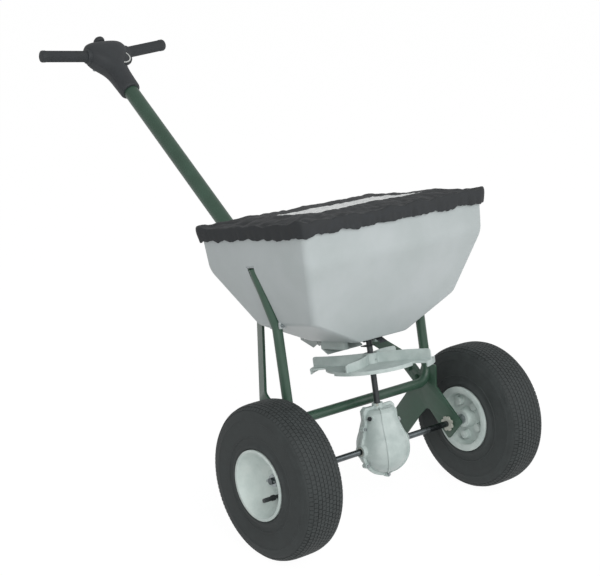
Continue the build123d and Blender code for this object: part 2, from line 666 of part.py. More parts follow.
def grip(side):
    """Rubber grip, ribbed along its length and closed at its outer end."""
    corners = []
    for n in range(2 * GRIP_RIBS):
        radius, turn = GRIP_R - 1.2 * (n % 2), radians(180 * n / GRIP_RIBS)
        corners.append((radius * cos(turn), radius * sin(turn)))
    ribbed = extrude(make_face(Polyline(*corners, close=True)), GRIP_OUT - GRIP_IN - 4)
    body = Pos(GRIP_IN, 0, 0) * (Plane.YZ * ribbed) + rod(GRIP_R - 2, GRIP_OUT - 4, GRIP_OUT)
    return HANDLE * grip_axis(side, body - rod(CORE_R, GRIP_IN - 1, GRIP_OUT - 6))


def pin_u():
    """Where the control rod's pin lies along the handle."""
    return (PIN_Y - HANDLE.origin.Y) / sin(radians(POLE_TILT))


def control_rod():
    """Rod through the pole with a jog under the knob and a cross pin at its lower end."""
    path = FilletPolyline((0, pin_u(), 0), (0, 1118, 0), (0, 1146, KNOB_V), (0, 1190, KNOB_V), radius=12)
    bar = sweep(Plane(path @ 0, z_dir=path % 0) * Circle(4), path)
    return HANDLE * (bar + Pos(0, pin_u(), 0) * (rod(3, -12, 12) + rod(5.5, -5, 5)))


def flow_knob():
    """Mushroom knob that draws the gate open."""
    outline = Polyline((0, 1186), (6, 1186), (6, 1198), (11, 1200), (12.5, 1204), (12.5, 1208),
                       (10, 1212), (0, 1214), close=True)
    knob = revolve(make_face(outline), Axis.Y)
    return HANDLE * (Pos(0, 0, KNOB_V) * (knob - rod(4, 1180, 1190, "Y")))


def rate_dial():
    """Thumb wheel in the side of the handle body, notched round its edge."""
    wheel = Pos(0, 0, -3.5) * extrude(RegularPolygon(DIAL_R, 24), 7) - rod(3.05, -5, 5, "Z")
    for notch in PolarLocations(DIAL_R, 12):
        wheel -= notch * Box(3, 2.5, 10)
    return HANDLE * (Pos(*DIAL) * wheel)


def dial_pin():
    return HANDLE * (Pos(*DIAL) * rod(3, -10, 6, "Z"))


os.makedirs("parts", exist_ok=True)

SINGLES = (
    hopper, hopper_cover, cover_window, cross_tube, arm_bolts, plate_bolts, hopper_bolts, axle,
    axle_spacers, end_washers, end_pins, bevel_gear, gear_pin, bevel_pinion, pinion_pin,
    gearbox_screws, gearbox_bushes, gearbox_shaft_bush, grease_plug, drive_shaft, impeller,
    impeller_pin, agitator, shaft_bush, gate_slide, gate_guide, handle_tube, rod_guide,
    housing_screws, control_rod, flow_knob, rate_dial, dial_pin)
PAIRS = (side_plate, stand_foot, upright, arm, axle_bearing, rim, tyre, valve, grip_core, grip)

for piece in SINGLES:
    save(piece.__name__, piece())
for piece in PAIRS:
    save(piece.__name__ + "_left", piece(-1))
    save(piece.__name__ + "_right", piece(1))
save("gearbox_front", gearbox_half(True))
save("gearbox_back", gearbox_half(False))
save("housing_upper", housing_half(True))
save("housing_lower", housing_half(False))
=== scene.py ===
"""The looks of the broadcast spreader.

Every CAD node gets a finish, and the moulded, rubber and cloth parts that the solids keep plain are
modelled here. The machine's own frame has its origin in the middle of the axle, X along the axle, Y to
the back and Z along the spinner shaft. The handle's frame has Y up along the pole. Both are worked out
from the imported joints, and drawings in them are in millimetres.
"""
import json
from contextlib import contextmanager
from math import atan2, cos, hypot, pi, radians, sin

import bmesh
import bpy
from mathutils import Matrix, Vector, noise


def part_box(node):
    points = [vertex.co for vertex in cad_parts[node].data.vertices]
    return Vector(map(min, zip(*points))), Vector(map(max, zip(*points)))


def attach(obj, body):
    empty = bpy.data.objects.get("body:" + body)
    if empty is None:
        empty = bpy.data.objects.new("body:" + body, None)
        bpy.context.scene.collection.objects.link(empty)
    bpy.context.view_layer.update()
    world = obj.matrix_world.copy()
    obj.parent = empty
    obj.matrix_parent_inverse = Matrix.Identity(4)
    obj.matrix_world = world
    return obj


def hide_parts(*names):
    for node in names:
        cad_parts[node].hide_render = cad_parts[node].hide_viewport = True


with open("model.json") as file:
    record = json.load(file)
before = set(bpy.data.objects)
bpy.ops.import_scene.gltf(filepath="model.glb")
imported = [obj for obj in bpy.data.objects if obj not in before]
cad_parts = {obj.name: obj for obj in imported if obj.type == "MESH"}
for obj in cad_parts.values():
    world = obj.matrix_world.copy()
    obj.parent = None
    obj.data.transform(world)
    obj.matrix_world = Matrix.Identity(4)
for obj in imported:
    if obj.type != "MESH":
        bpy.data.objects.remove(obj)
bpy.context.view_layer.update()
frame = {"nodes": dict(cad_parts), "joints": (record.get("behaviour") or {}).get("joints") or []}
MM = 0.001

# ---------------------------------------------------------------- frames

JOINTS = {joint["name"]: joint for joint in frame["joints"]}


def clamp(value, low=0.0, high=1.0):
    """The value held between two limits."""
    return max(low, min(high, value))


def middle(node):
    """Middle of a node's box."""
    low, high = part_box(node)
    return (low + high) / 2


def basis(up, side, origin):
    """Matrix that takes a drawing in millimetres to the row frame, X along the side and Z along up."""
    z = Vector(up).normalized()
    x = Vector(side)
    y = z.cross(x)
    turn = Matrix((x, y, z)).transposed().to_4x4()
    return Matrix.Translation(origin) @ turn @ Matrix.Scale(MM, 4)


AXLE = middle("axle")
POLE_FOOT = (0, 85, 100)                # origin of the handle's frame, in the machine's
MACHINE = basis(JOINTS["spinner_spin"]["axis"], (1, 0, 0), AXLE)
HANDLE = basis(JOINTS["dial_turn"]["axis"], (1, 0, 0), MACHINE @ Vector(POLE_FOOT))

# ---------------------------------------------------------------- camera

AZIMUTH, ELEVATION = -39.56, 16.23      # degrees
DISTANCE = 3.2984
AIM = (-0.18, 0.4987)                   # aim point from under the axle, right and up in the view
LENS = 89.85


def camera():
    """The main view, from the front left and a little above."""
    turn, rise = radians(AZIMUTH), radians(ELEVATION)
    back = Vector((sin(turn) * cos(rise), -cos(turn) * cos(rise), sin(rise)))
    right = Vector((cos(turn), sin(turn), 0))
    ground = Vector((AXLE.x, AXLE.y, 0))
    aim = ground + right * AIM[0] + back.cross(right) * AIM[1]
    bpy.ops.object.camera_add(location=aim + back * DISTANCE)
    eye = bpy.context.object
    eye.rotation_mode = "QUATERNION"
    eye.rotation_quaternion = (-back).to_track_quat("-Z", "Y")
    eye.data.lens = LENS
    eye.data.clip_end = 60
    bpy.context.scene.camera = eye


# ---------------------------------------------------------------- modelling

def select_nothing():
    """Nothing selected."""
    bpy.ops.object.select_all(action="DESELECT")


def linked(name, data):
    """A new object with its data, in the scene."""
    obj = bpy.data.objects.new(name, data)
    bpy.context.collection.objects.link(obj)
    return obj


def alone(obj):
    """One object selected and active."""
    select_nothing()
    obj.select_set(True)
    bpy.context.view_layer.objects.active = obj
    return obj


@contextmanager
def editing(obj):
    """Edit mode on one object, with nothing selected at first."""
    alone(obj)
    bpy.ops.object.mode_set(mode="EDIT")
    bpy.ops.mesh.select_mode(type="VERT")
    bpy.ops.mesh.select_all(action="DESELECT")
    yield obj
    bpy.ops.object.mode_set(mode="OBJECT")


def pick(obj, kind, test):
    """Select the vertices, edges or faces that pass a test."""
    bpy.ops.mesh.select_mode(type=kind)
    bpy.ops.mesh.select_all(action="DESELECT")
    mesh = bmesh.from_edit_mesh(obj.data)
    for item in {"VERT": mesh.verts, "EDGE": mesh.edges, "FACE": mesh.faces}[kind]:
        if test(item):
            item.select_set(True)
    mesh.select_flush_mode()
    bmesh.update_edit_mesh(obj.data)


def modify(obj, kind, **settings):
    """Add a modifier and apply it."""
    alone(obj)
    modifier = obj.modifiers.new(kind.lower(), kind)
    for name, value in settings.items():
        setattr(modifier, name, value)
    bpy.ops.object.modifier_apply(modifier=modifier.name)


def cut(obj, *tools, operation="DIFFERENCE"):
    """Cut closed tools out of a piece, or add them to it, and delete them."""
    for tool in tools:
        modify(obj, "BOOLEAN", object=tool, operation=operation, solver="EXACT")
        bpy.data.objects.remove(tool)


def primitive(kind, **settings):
    """A mesh primitive, the only thing selected."""
    select_nothing()
    getattr(bpy.ops.mesh, f"primitive_{kind}_add")(**settings)
    return bpy.context.object


def block(size, place):
    """A cube scaled to a size."""
    obj = primitive("cube", size=1, location=place)
    with editing(obj):
        bpy.ops.mesh.select_all(action="SELECT")
        bpy.ops.transform.resize(value=size, center_override=place)
    bpy.ops.object.transform_apply()
    return obj


def cylinder(radius, depth, place, turn=(0, 0, 0), sides=32):
    """A cylinder along Z, or turned from there."""
    obj = primitive("cylinder", radius=radius, depth=depth, location=place, rotation=turn, vertices=sides)
    bpy.ops.object.transform_apply()
    return obj


def traced(points):
    """One point extruded from place to place, an open line of edges."""
    obj = primitive("plane", size=1)
    with editing(obj):
        bpy.ops.mesh.select_all(action="SELECT")
        bpy.ops.mesh.merge(type="CENTER")
        bpy.ops.transform.translate(value=points[0])
        for start, end in zip(points, points[1:]):
            bpy.ops.mesh.extrude_vertices_move(TRANSFORM_OT_translate={"value": end - start})
    return obj


def spun(section, steps):
    """A section of (place on the axis, radius) spun about X."""
    obj = traced([Vector((x, 0, radius)) for x, radius in section])
    with editing(obj):
        bpy.ops.mesh.select_all(action="SELECT")
        bpy.ops.mesh.spin(steps=steps, angle=2 * pi, center=(0, 0, 0), axis=(1, 0, 0))
        bpy.ops.mesh.select_all(action="SELECT")
        bpy.ops.mesh.remove_doubles(threshold=0.001)
        bpy.ops.mesh.normals_make_consistent(inside=False)
    return obj


def strand(points, radius, resolution):
    """A round bar along straight runs through points, made a mesh."""
    curve = bpy.data.curves.new("strand", "CURVE")
    curve.dimensions = "3D"
    curve.bevel_depth = radius
    curve.bevel_resolution = resolution
    curve.use_fill_caps = True
    line = curve.splines.new("POLY")
    line.points.add(len(points) - 1)
    for point, place in zip(line.points, points):
        point.co = (*place, 1)
    alone(linked("strand", curve))
    bpy.ops.object.convert(target="MESH")
    return bpy.context.object


def placed(obj, matrix):
    """Move the mesh by a matrix, and leave the object at the origin."""
    alone(obj)
    obj.matrix_world = matrix
    bpy.ops.object.transform_apply()


def finished(obj, name, material, body, *nodes, matrix=None, smooth=35):
    """Put a piece in its place, name and dress it; it rides on its body and stands for its nodes."""
    if matrix:
        placed(obj, matrix)
    alone(obj)
    obj.name = obj.data.name = name
    bpy.ops.object.shade_smooth_by_angle(angle=radians(smooth))
    dress(obj, material)
    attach(obj, body)
    if nodes:
        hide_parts(*nodes)


def merged_copy(node):
    """A CAD node's mesh as one closed skin, free to be worked on."""
    obj = linked(f"{node}_soft", frame["nodes"][node].data.copy())
    with editing(obj):
        bpy.ops.mesh.select_all(action="SELECT")
        bpy.ops.mesh.remove_doubles(threshold=1e-5)
        bpy.ops.mesh.dissolve_limited(angle_limit=radians(0.5))
        bpy.ops.mesh.customdata_custom_splitnormals_clear()
    return obj


def rounded(obj, width):
    """Round the edges that moulding or grinding leaves round."""
    modify(obj, "BEVEL", width=width, segments=2, limit_method="ANGLE", angle_limit=radians(28),
           harden_normals=False)


def softened(node, body, width):
    """A copy of a CAD node with rounded edges stands for it; the width is in millimetres."""
    obj = merged_copy(node)
    rounded(obj, width * MM)
    finished(obj, f"{node}_soft", finish_for(node), body, node)


# ---------------------------------------------------------------- materials

def srgb(code):
    """sRGB hex to a linear colour."""
    values = [int(code[i:i + 2], 16) / 255 for i in (1, 3, 5)]
    return tuple(v / 12.92 if v <= 0.04045 else ((v + 0.055) / 1.055) ** 2.4 for v in values) + (1.0,)


def empty_tree(owner):
    """The node tree of a material or world, emptied."""
    owner.use_nodes = True
    owner.node_tree.nodes.clear()
    return owner.node_tree


def add(tree, kind, values=None, links=None, **settings):
    """A node with its settings, its socket values and what is linked into it."""
    made = tree.nodes.new(kind)
    for name, value in settings.items():
        setattr(made, name, value)
    for name, value in (values or {}).items():
        made.inputs[name].default_value = value
    for name, source in (links or {}).items():
        tree.links.new(source, made.inputs[name])
    return made


def ramp(tree, fac, *stops):
    """Colour ramp through (position, colour) stops."""
    made = add(tree, "ShaderNodeValToRGB", links={"Fac": fac})
    elements = made.color_ramp.elements
    while len(elements) < len(stops):
        elements.new(0.5)
    for element, (at, colour) in zip(elements, stops):
        element.position = at
        element.color = colour
    return made.outputs["Color"]


def finish_of(name, coarse, colours, rough, grain, grain_depth, wave=0.0, wave_size=40.0, **shader):
    """A skin: colour that drifts over `coarse` mm, roughness with it, and a fine grain in its surface.

    colours are the darker and lighter hex tone, rough the two roughnesses, grain its size in mm.
    """
    material = bpy.data.materials.new(name)
    tree = empty_tree(material)
    where = add(tree, "ShaderNodeTexCoord").outputs["Object"]
    drift = add(tree, "ShaderNodeTexNoise", {"Scale": 1 / (coarse * MM), "Detail": 5.0, "Roughness": 0.6},
                {"Vector": where}).outputs["Fac"]
    colour = ramp(tree, drift, (0.36, srgb(colours[0])), (0.66, srgb(colours[1])))
    polish = add(tree, "ShaderNodeMapRange", {"From Min": 0.3, "From Max": 0.7, "To Min": rough[0],
                                              "To Max": rough[1]}, {"Value": drift}).outputs["Result"]
    fine = add(tree, "ShaderNodeTexNoise", {"Scale": 1 / (grain * MM), "Detail": 2.0},
               {"Vector": where}).outputs["Fac"]
    bump = add(tree, "ShaderNodeBump", {"Strength": grain_depth, "Distance": grain * MM * 0.3},
               {"Height": fine}).outputs["Normal"]
    if wave:
        slow = add(tree, "ShaderNodeTexNoise", {"Scale": 1 / (wave_size * MM), "Detail": 1.0},
                   {"Vector": where}).outputs["Fac"]
        bump = add(tree, "ShaderNodeBump", {"Strength": wave, "Distance": wave_size * MM * 0.1},
                   {"Height": slow, "Normal": bump}).outputs["Normal"]
    surface = add(tree, "ShaderNodeBsdfPrincipled", shader,
                  {"Base Color": colour, "Roughness": polish, "Normal": bump})
    add(tree, "ShaderNodeOutputMaterial", links={"Surface": surface.outputs["BSDF"]})
    return material


# Rotomoulded polyethylene: waxy, softly uneven walls with a satin skin and faint clouding.
HOPPER_PE = finish_of("rotomoulded_polyethylene", 160, ("#aab2b2", "#b4bbbc"), (0.38, 0.46), 1.6, 0.12,
                      0.25, 60.0, IOR=1.51)
# Injection-moulded nylon of the drive parts: pale, a little glossy, with a fine spark-eroded texture.
NYLON = finish_of("moulded_nylon", 30, ("#adbab7", "#bfcac7"), (0.34, 0.46), 0.9, 0.15,
                  0.15, 18.0, IOR=1.53)
# Moulded polypropylene of the wheel centres: off-white, dulled by handling.
RIM_PP = finish_of("moulded_polypropylene", 40, ("#bac7c3", "#ccd6d2"), (0.38, 0.5), 1.0, 0.12,
                   0.12, 24.0, IOR=1.49)
# Machined natural nylon of the bushes: warmer and slightly translucent to the eye.
BUSH_NYLON = finish_of("natural_nylon", 14, ("#a8aaa0", "#bdbfb6"), (0.36, 0.48), 0.8, 0.12, IOR=1.53)
# Powder coat over steel: deep green, fine orange peel, even semi-gloss.
GREEN_COAT = finish_of("powder_coated_steel", 55, ("#2f4a3b", "#385445"), (0.36, 0.46), 1.8, 0.18,
                       0.1, 9.0, IOR=1.5)
# Moulded ABS with an etched grain: near black, broad dull highlights.
BLACK_ABS = finish_of("textured_black_abs", 22, ("#24282b", "#2d3134"), (0.55, 0.68), 0.8, 0.35, IOR=1.52)
# Moulded rubber of the grips: as dark, duller, slightly tacky skin.
GRIP_RUBBER = finish_of("moulded_grip_rubber", 18, ("#25292b", "#2e3235"), (0.62, 0.76), 0.9, 0.4,
                        IOR=1.52)
# Vulcanised tyre rubber: matt, greyed unevenly by dust.
TYRE_RUBBER = finish_of("tyre_rubber", 26, ("#282d2d", "#353a3a"), (0.66, 0.82), 1.2, 0.35,
                        0.12, 12.0, IOR=1.52)
# Moulded rubber of the valves: cleaner and smoother than the tyres.
VALVE_RUBBER = finish_of("valve_rubber", 8, ("#26292b", "#333638"), (0.5, 0.65), 0.6, 0.3, IOR=1.52)
# Bright zinc plate on fasteners and wire: cool, with a faint spangle.
ZINC = finish_of("zinc_plated_steel", 9, ("#8f9597", "#a9aeb0"), (0.26, 0.4), 0.5, 0.12, Metallic=1.0)
# Cold-drawn steel of the axle: dark with a sharp line of light along it.
AXLE_STEEL = finish_of("drawn_bright_steel", 12, ("#4c5153", "#5f6567"), (0.16, 0.26), 0.5, 0.1,
                       Metallic=1.0)
# Oil-blackened steel of the spinner shaft: dark, with a soft sheen.
DARK_STEEL = finish_of("blackened_steel", 10, ("#393b3d", "#484b4d"), (0.4, 0.54), 0.6, 0.15,
                       Metallic=0.5)
# Rolled stainless sheet of the gate: grey, evenly blurred reflections.
SHEET_STEEL = finish_of("stainless_sheet", 20, ("#7d8382", "#929896"), (0.34, 0.46), 0.6, 0.1,
                        Metallic=1.0)
# Sintered iron of the bevel pair under grease: brownish black, wet in patches.
GEAR_IRON = finish_of("greased_sintered_iron", 7, ("#33322f", "#47453f"), (0.28, 0.5), 0.5, 0.3,
                      Metallic=0.8)
# Moulded ABS of the thumb wheel's scale: pale and smooth.
DIAL_ABS = finish_of("pale_moulded_abs", 12, ("#c6cac6", "#d5d8d4"), (0.3, 0.4), 0.7, 0.1, IOR=1.53)
# Coated nylon cloth of the cover: black and dull, its weave drawn coarser than real so that it shows.
COVER_NYLON = finish_of("coated_nylon_cloth", 16, ("#1f2224", "#2a2d30"), (0.7, 0.85), 1.1, 0.5, IOR=1.5)
# Vinyl film of the window: glossy; its pale colour is painted reflection, its streaks painted highlights
# and shade of creases.
FILM = finish_of("clear_film", 16, ("#cdd2d1", "#f1f3f2"), (0.12, 0.22), 2.0, 0.3, IOR=1.5)

# left and right nodes share one entry
FINISHES = {
    "hopper": HOPPER_PE, "shaft_bush": BUSH_NYLON, "gate_guide": NYLON, "cross_tube": GREEN_COAT,
    "side_plate": GREEN_COAT, "stand_foot": BLACK_ABS, "upright": GREEN_COAT, "arm": GREEN_COAT,
    "axle_bearing": BUSH_NYLON, "arm_bolts": ZINC, "plate_bolts": GREEN_COAT, "hopper_bolts": ZINC,
    "gearbox_front": NYLON, "gearbox_back": NYLON, "gearbox_screws": ZINC,
    "gearbox_bushes": BUSH_NYLON, "gearbox_shaft_bush": BUSH_NYLON, "grease_plug": BLACK_ABS,
    "handle_tube": GREEN_COAT, "rod_guide": BLACK_ABS, "housing_upper": BLACK_ABS,
    "housing_lower": BLACK_ABS, "housing_screws": ZINC, "grip_core": ZINC, "grip": GRIP_RUBBER,
    "dial_pin": ZINC, "axle": AXLE_STEEL, "axle_spacers": ZINC, "end_washers": ZINC, "end_pins": ZINC,
    "bevel_gear": GEAR_IRON, "gear_pin": ZINC, "rim": RIM_PP, "tyre": TYRE_RUBBER,
    "valve": VALVE_RUBBER, "drive_shaft": DARK_STEEL, "bevel_pinion": GEAR_IRON, "pinion_pin": ZINC,
    "impeller": NYLON, "impeller_pin": ZINC, "agitator": ZINC, "control_rod": ZINC,
    "flow_knob": BLACK_ABS, "gate_slide": SHEET_STEEL, "rate_dial": BLACK_ABS,
    "hopper_cover": COVER_NYLON, "cover_window": FILM,
}


def dress(obj, material):
    """Give a piece one material."""
    obj.data.materials.clear()
    obj.data.materials.append(material)


def finish_for(node):
    """The finish of a CAD node."""
    return FINISHES[node.removesuffix("_left").removesuffix("_right")]


def dress_nodes():
    """Give every CAD node its finish."""
    for name, obj in frame["nodes"].items():
        dress(obj, finish_for(name))


# ---------------------------------------------------------------- floor and light

FLOOR_SIZE = 40
FLOOR_WHITE = 0.93                      # share of plain white in the floor, the rest keeps the shadow
WHITE_LEVEL = 1.04
WORLD_LEVEL = 0.56                      # of the soft light from all round
# name, place, target, size in metres, watts
LAMPS = (("key", (-1.2, -3.4, 2.6), (0, -0.3, 0.5), 2.2, 56),
         ("fill", (2.6, -2.6, 1.8), (0, -0.3, 0.5), 2.6, 24),
         ("front", (-1.9, -2.6, 1.5), (0, -0.3, 0.4), 0.7, 13))


def lamp(name, place, target, size, power):
    """A large soft area lamp turned to a target."""
    bpy.ops.object.light_add(type="AREA", location=place)
    light = bpy.context.object
    light.name = name
    light.data.shape = "DISK"
    light.data.size = size
    light.data.energy = power
    light.rotation_euler = (Vector(target) - Vector(place)).to_track_quat("-Z", "Y").to_euler()


def seen_ray(tree):
    """One for what is seen straight, through film or in a gloss, and nought for soft light."""
    path = add(tree, "ShaderNodeLightPath").outputs
    seen = path["Is Camera Ray"]
    for other in ("Is Transmission Ray", "Is Glossy Ray"):
        either = add(tree, "ShaderNodeMath", links={0: seen, 1: path[other]}, operation="MAXIMUM")
        seen = either.outputs["Value"]
    return seen


def stage():
    """Pale floor that keeps a faint shadow, white to the camera, under soft light."""
    floor = bpy.data.materials.new("pale_floor")
    tree = empty_tree(floor)
    share = add(tree, "ShaderNodeMath", {1: FLOOR_WHITE}, {0: seen_ray(tree)}, operation="MULTIPLY")
    matt = add(tree, "ShaderNodeBsdfDiffuse", {"Color": srgb("#fafafa")}).outputs["BSDF"]
    white = add(tree, "ShaderNodeEmission", {"Strength": WHITE_LEVEL}).outputs["Emission"]
    mix = add(tree, "ShaderNodeMixShader", links={0: share.outputs["Value"], 1: matt, 2: white})
    add(tree, "ShaderNodeOutputMaterial", links={"Surface": mix.outputs["Shader"]})
    plane = primitive("plane", size=FLOOR_SIZE)
    plane.name = "floor"
    dress(plane, floor)

    world = bpy.data.worlds.new("studio")
    bpy.context.scene.world = world
    tree = empty_tree(world)
    level = add(tree, "ShaderNodeMapRange", {"To Min": WORLD_LEVEL, "To Max": 1.0},
                {"Value": seen_ray(tree)})
    back = add(tree, "ShaderNodeBackground", links={"Strength": level.outputs["Result"]})
    add(tree, "ShaderNodeOutputWorld", links={"Surface": back.outputs["Background"]})
    for settings in LAMPS:
        lamp(*settings)


# ---------------------------------------------------------------- wheels

WHEEL_X = 294.0                     # middle of each wheel on the axle
TYRE_HALF, WIDEST = 48.0, 118.0     # half width, radius where it is widest
CROWN_R, CROWN_POWER = 163.7, 4.2   # carcass under the tread, power of its outline (2 is round)
ROWS = (-43, -36, -27, -18, -9, 0, 9, 18, 27, 36, 43)
STEPS = 216                         # round the tyre, two to a tread block
BAND_R = 150                        # the tread's band lies outside this radius
LUG_H, LUG_GAP = 1.3, 0.7           # height of a tread block, half the groove between two


def crown(x):
    """Radius of the carcass above its widest circle."""
    flat = (1 - abs(x / TYRE_HALF) ** CROWN_POWER) ** (1 / CROWN_POWER)
    return WIDEST + (CROWN_R - WIDEST) * flat


def tyre_section():
    """From bead to bead: a ridge beside the rim, two raised rings in the sidewall, shoulder and crown."""
    wall = [(46, 68.2), (46.4, 75), (49.6, 76.2), (51, 78.6), (50.9, 81.5), (49.2, 84.6), (46.9, 88),
            (46.5, 93), (46.9, 98), (47.9, 98.8), (48, 100.6), (47.2, 101.6), (47.7, 109),
            (48, WIDEST), (47.9, 126), (47.6, 134), (48.3, 135), (48.2, 138), (47.3, 139.2)]
    shoulder = [(x, crown(x)) for x in (46.6, 45.6, 44.4)]
    half = wall + shoulder
    tread = [(x, crown(x)) for x in reversed(ROWS)]
    return half + tread + [(-x, r) for x, r in reversed(half)] + half[:1]


def on_row(place):
    """True on the tread's band."""
    return abs(place.x) < ROWS[-1] and hypot(place.y, place.z) > BAND_R


def between_blocks(edge):
    """The middle edge of each block, shifted by half a block from row to row."""
    a, b = (v.co for v in edge.verts)
    place = (a + b) / 2
    if not on_row(place) or abs(a.x - b.x) < 3:
        return False
    step = round(atan2(place.y, place.z) * STEPS / (2 * pi))
    row = sum(start < place.x for start in ROWS)
    return (step + row) % 2 == 1


def tyre():
    """The section spun round, with its band cut into staggered blocks."""
    obj = spun(tyre_section(), STEPS)
    with editing(obj):
        pick(obj, "EDGE", between_blocks)
        bpy.ops.mesh.dissolve_edges(use_verts=False)
        pick(obj, "FACE", lambda face: on_row(face.calc_center_median()))
        bpy.ops.mesh.inset(thickness=LUG_GAP, use_individual=True)
        bpy.ops.mesh.extrude_region_shrink_fatten(TRANSFORM_OT_shrink_fatten={"value": LUG_H})
    return obj


def wheels():
    """Both wheels, each a modelled tyre on its rim."""
    for side, name, body in ((-1, "left", "axle"), (1, "right", "free_wheel")):
        matrix = MACHINE @ Matrix.Translation((side * WHEEL_X, 0, 0))
        if side < 0:
            matrix = matrix @ Matrix.Rotation(pi, 4, "Z")
        finished(tyre(), f"turf_tyre_{name}", TYRE_RUBBER, body, f"tyre_{name}", matrix=matrix)
        softened(f"rim_{name}", body, 1.4)


# ---------------------------------------------------------------- hopper

# height, half width, front, back
LEVELS = ((241, 73, -49, 115), (303, 203, -75, 119), (429, 249, -137, 204), (506, 251, -143, 212),
          (506, 256, -148, 217), (515, 256, -148, 217))
UPRIGHT_X, UPRIGHT_Y = 202.0, 50.0
GROOVE_R = 13.5
# how far the groove has run out to the side, at a height
GROOVE = ((0, 120), (0, 291), (0.8, 297.5), (2.4, 303.5), (39.6, 434))
WALL = 4.0
CORNER_ROUND = 12.5
# height of a kink, width and steps of its rounding
KINKS = ((241, 5, 3), (303, 7, 4), (429, 12, 4), (506, 1.5, 2), (515, 2.5, 3))
PORTS = ((0, 67, 9), (-27, 62, 8), (27, 62, 8), (0, 0, 12))     # gate ports and the shaft's hole
EAR, EAR_OFF, EAR_Z = (15, 7, 15), 15.2, 303                    # size, off the upright in Y, height


def leans(edge):
    """An edge that runs up a corner, not round a level."""
    run = edge.verts[0].co - edge.verts[1].co
    return abs(run.z) > 0.1 or min(abs(run.x), abs(run.y)) > 0.1


def hopper_block():
    """The outside as a solid: a rectangle drawn up through its levels, its corners and kinks rounded."""
    height, half, front, back = LEVELS[0]
    obj = primitive("plane", size=2)
    with editing(obj):
        bpy.ops.mesh.select_all(action="SELECT")
        bpy.ops.transform.resize(value=(half, (back - front) / 2, 1), center_override=(0, 0, 0))
        bpy.ops.transform.translate(value=(0, (front + back) / 2, height))
        for (z, half, front, back), upper in zip(LEVELS, LEVELS[1:]):
            next_z, next_half, next_front, next_back = upper
            rise = (0, (next_front + next_back - front - back) / 2, next_z - z)
            spread = (next_half / half, (next_back - next_front) / (back - front), 1)
            bpy.ops.mesh.extrude_region_move(TRANSFORM_OT_translate={"value": rise})
            bpy.ops.transform.resize(value=spread,
                                     center_override=(0, (next_front + next_back) / 2, next_z))
        bpy.ops.mesh.select_all(action="SELECT")
        bpy.ops.mesh.normals_make_consistent(inside=False)
        pick(obj, "EDGE", leans)
        bpy.ops.mesh.bevel(offset=CORNER_ROUND, segments=6, affect="EDGES")
        for height, width, steps in KINKS:
            pick(obj, "EDGE", lambda edge: all(abs(v.co.z - height) < 0.2 for v in edge.verts)
                 and edge.calc_face_angle(0) > 0.02)
            bpy.ops.mesh.bevel(offset=width, segments=steps, affect="EDGES")
    return obj


def hopper():
    """The block grooved for the uprights and made a shell, with its ports and the bolts' ears."""
    obj = hopper_block()
    for side in (-1, 1):
        route = [(side * (UPRIGHT_X + out), UPRIGHT_Y, height) for out, height in GROOVE]
        cut(obj, strand(route, GROOVE_R, 7))
    with editing(obj):
        rim = LEVELS[-1][0] - 0.5
        pick(obj, "FACE", lambda face: face.normal.z > 0.99 and face.calc_center_median().z > rim)
        bpy.ops.mesh.delete(type="FACE")
    modify(obj, "SOLIDIFY", thickness=WALL, offset=-1)
    for x, y, radius in PORTS:
        cut(obj, cylinder(radius, 30, (x, y, LEVELS[0][0])))
    for side in (-1, 1):
        for end in (-1, 1):
            ear = block(EAR, (side * (UPRIGHT_X - 2), UPRIGHT_Y + end * EAR_OFF, EAR_Z))
            modify(ear, "BEVEL", width=1.5, segments=2)
            cut(obj, ear, operation="UNION")
    finished(obj, "hopper_shell", HOPPER_PE, "frame", "hopper", matrix=MACHINE, smooth=40)


# ---------------------------------------------------------------- handle

# along the pole, half width, half thickness, rise of the middle, power of the outline (2 is round)
POD = ((1024, 25.5, 25.5, 0, 2.0), (1026, 26.8, 26.8, 0, 2.0), (1084, 27.5, 27.5, 0, 2.1),
       (1106, 31, 29.5, 1, 2.3), (1124, 41, 31.5, 2, 2.6), (1142, 54, 33, 2, 3.0),
       (1162, 60, 33.5, 3, 3.2), (1181, 58, 30, 4, 3.1), (1192, 52, 22, 3.6, 3.0),
       (1197.5, 42, 12, 3, 2.8))
GRIP_AT = (0, 1153, 6)
GRIP_SWEEP = 7.4                        # degrees that each grip leans forward
SEAM_V, SEAM = 6.0, 0.5                 # height of the seam between the shells, and its width
SCREWS = ((-40, 1138), (40, 1138), (-32, 1181), (32, 1181))
SOCKET_R, SOCKET_L, SOCKET_AT = 18.6, 26, 49    # radius, length and reach of a grip's socket
DIAL_AT, DIAL_SLOT_R = (20, 1126, 24), 29
KNOB_V, ROD_BORE_R = 12.0, 7
# along the grip, radius, depth of the flutes
SLEEVE = ((62, 15.6, 0), (64.4, 15.6, 0), (65.2, 14.6, 0), (66.5, 14.4, 0.75), (171, 14.4, 0.75),
          (172.5, 14.7, 0), (174, 15.0, 0), (181.5, 15.0, 0), (183.8, 13.9, 0), (184.9, 11.6, 0),
          (185, 6, 0))
SLEEVE_SIDES = 96                       # round the grip, four to a flute


def bowed(value, power):
    """A cosine or sine squared off for an outline of a power."""
    return (abs(value) ** (2 / power)) * (1 if value > 0 else -1)


